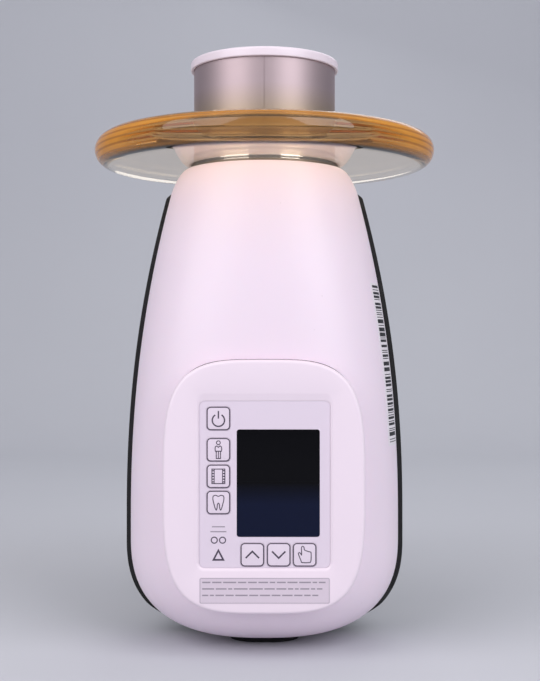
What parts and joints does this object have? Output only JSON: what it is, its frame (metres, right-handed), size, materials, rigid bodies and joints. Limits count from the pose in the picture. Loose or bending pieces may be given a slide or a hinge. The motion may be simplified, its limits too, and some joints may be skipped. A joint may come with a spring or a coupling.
{
  "type": "intraoral x-ray unit",
  "caption": "Handheld intraoral x-ray unit on its rear end: metal cone, sliding amber backscatter shield, keypad with display, battery handset with trigger.",
  "frame": {"origin": "where the beam axis meets the flat rear end that the unit stands on", "axes": "+Z along the beam axis, out of the cone; -Y is the display side; +Y is the handset side"},
  "size_m": [0.165, 0.2907, 0.2815],
  "materials": {
    "white_shell": "satin moulded white",
    "dark_shell": "fine-grained black",
    "bezel": "satin moulded white",
    "overlay": "fine matte film",
    "key": "fine matte film",
    "window": "polished black",
    "display": "plastic and film",
    "board": "solder mask",
    "dome_metal": "spring steel",
    "screw_steel": "zinc plated",
    "brass": "gold plated",
    "buzzer": "matte",
    "frame_metal": "milled",
    "tank": "cast, lead lined",
    "tube_glass": "clear",
    "copper": "bare copper",
    "cathode": "nickel",
    "winding": "laminations and windings",
    "epoxy": "potting",
    "filter": "bare",
    "lead": "dull lead",
    "cone_metal": "fine brushed",
    "end_ring": "satin white",
    "nose_ring": "dark anodised",
    "shield": "polished amber lead acrylic",
    "rubber": "matte",
    "grip": "textured black",
    "plug": "moulded",
    "battery": "sleeved cells",
    "trigger": "satin dark grey",
    "pin_steel": "ground",
    "spring_steel": "drawn wire"
  },
  "bodies": {
    "housing": {"upper_shell": "white_shell", "lower_shell": "dark_shell", "control_bezel": "bezel", "keypad_overlay": "overlay", "snap_domes": "dome_metal", "display_window": "window", "display_module": "display", "keypad_board": "board", "panel_screws": "screw_steel", "main_board": "board", "board_standoffs": "brass", "buzzer": "buzzer", "chassis_frame": "frame_metal", "tube_head_tank": "tank", "tank_lid": "tank", "tube_glass_envelope": "tube_glass", "tube_anode": "copper", "tube_cathode": "cathode", "high_voltage_transformer": "winding", "voltage_multiplier": "epoxy", "aluminium_filter": "filter", "collimator_disc": "lead", "cone_tube": "cone_metal", "cone_lead_liner": "lead", "cone_end_ring": "end_ring", "cone_screws": "screw_steel", "nose_ring": "nose_ring", "handset_socket": "plug", "socket_contacts": "brass", "shell_screws": "screw_steel", "side_screws": "screw_steel"},
    "shield": {"shield_disc": "shield", "shield_friction_ring": "rubber"},
    "handset": {"handset_left_shell": "grip", "handset_right_shell": "grip", "handset_plug": "plug", "plug_contacts": "brass", "battery_cells": "battery", "battery_board": "board", "handset_base_cap": "grip", "charging_contacts": "brass", "trigger_pin": "pin_steel", "trigger_spring": "spring_steel", "trigger_switch": "buzzer", "latch_spring": "spring_steel", "handset_screws": "screw_steel", "base_cap_screws": "screw_steel"},
    "trigger_lever": {"trigger": "trigger"},
    "latch": {"latch_button": "trigger"},
    "key_power_cap": {"key_power": "key"},
    "key_patient_cap": {"key_patient": "key"},
    "key_film_cap": {"key_film": "key"},
    "key_tooth_cap": {"key_tooth": "key"},
    "key_up_cap": {"key_up": "key"},
    "key_down_cap": {"key_down": "key"},
    "key_hand_cap": {"key_hand": "key"}
  },
  "joints": [
    {"name": "shield_slide", "type": "slide", "parent": "housing", "child": "shield", "axis": [0, 0, 1], "range_m": [0, 0.032]},
    {"name": "handset_slide", "type": "slide", "parent": "housing", "child": "handset", "axis": [0, 0.9659, -0.2588], "range_m": [0, 0.045]},
    {"name": "trigger_pull", "type": "hinge", "parent": "handset", "child": "trigger_lever", "pos_m": [0, 0.08413, 0.0918], "axis": [-1, 0, 0], "range_deg": [0, 8], "stiffness_Nm_per_rad": 0.3, "springref_deg": -2.86, "deforming": ["trigger_spring"]},
    {"name": "latch_press", "type": "slide", "parent": "handset", "child": "latch", "axis": [0, 0.2588, 0.9659], "range_m": [0, 0.0025], "stiffness_N_per_m": 400, "springref_m": -0.002, "deforming": ["latch_spring"]},
    {"name": "key_power_press", "type": "slide", "parent": "housing", "child": "key_power_cap", "axis": [0, 1, 0], "range_m": [0, 0.0003], "stiffness_N_per_m": 400, "springref_m": -0.0003},
    {"name": "key_patient_press", "type": "slide", "parent": "housing", "child": "key_patient_cap", "axis": [0, 1, 0], "range_m": [0, 0.0003], "stiffness_N_per_m": 400, "springref_m": -0.0003},
    {"name": "key_film_press", "type": "slide", "parent": "housing", "child": "key_film_cap", "axis": [0, 1, 0], "range_m": [0, 0.0003], "stiffness_N_per_m": 400, "springref_m": -0.0003},
    {"name": "key_tooth_press", "type": "slide", "parent": "housing", "child": "key_tooth_cap", "axis": [0, 1, 0], "range_m": [0, 0.0003], "stiffness_N_per_m": 400, "springref_m": -0.0003},
    {"name": "key_up_press", "type": "slide", "parent": "housing", "child": "key_up_cap", "axis": [0, 1, 0], "range_m": [0, 0.0003], "stiffness_N_per_m": 400, "springref_m": -0.0003},
    {"name": "key_down_press", "type": "slide", "parent": "housing", "child": "key_down_cap", "axis": [0, 1, 0], "range_m": [0, 0.0003], "stiffness_N_per_m": 400, "springref_m": -0.0003},
    {"name": "key_hand_press", "type": "slide", "parent": "housing", "child": "key_hand_cap", "axis": [0, 1, 0], "range_m": [0, 0.0003], "stiffness_N_per_m": 400, "springref_m": -0.0003}
  ]
}
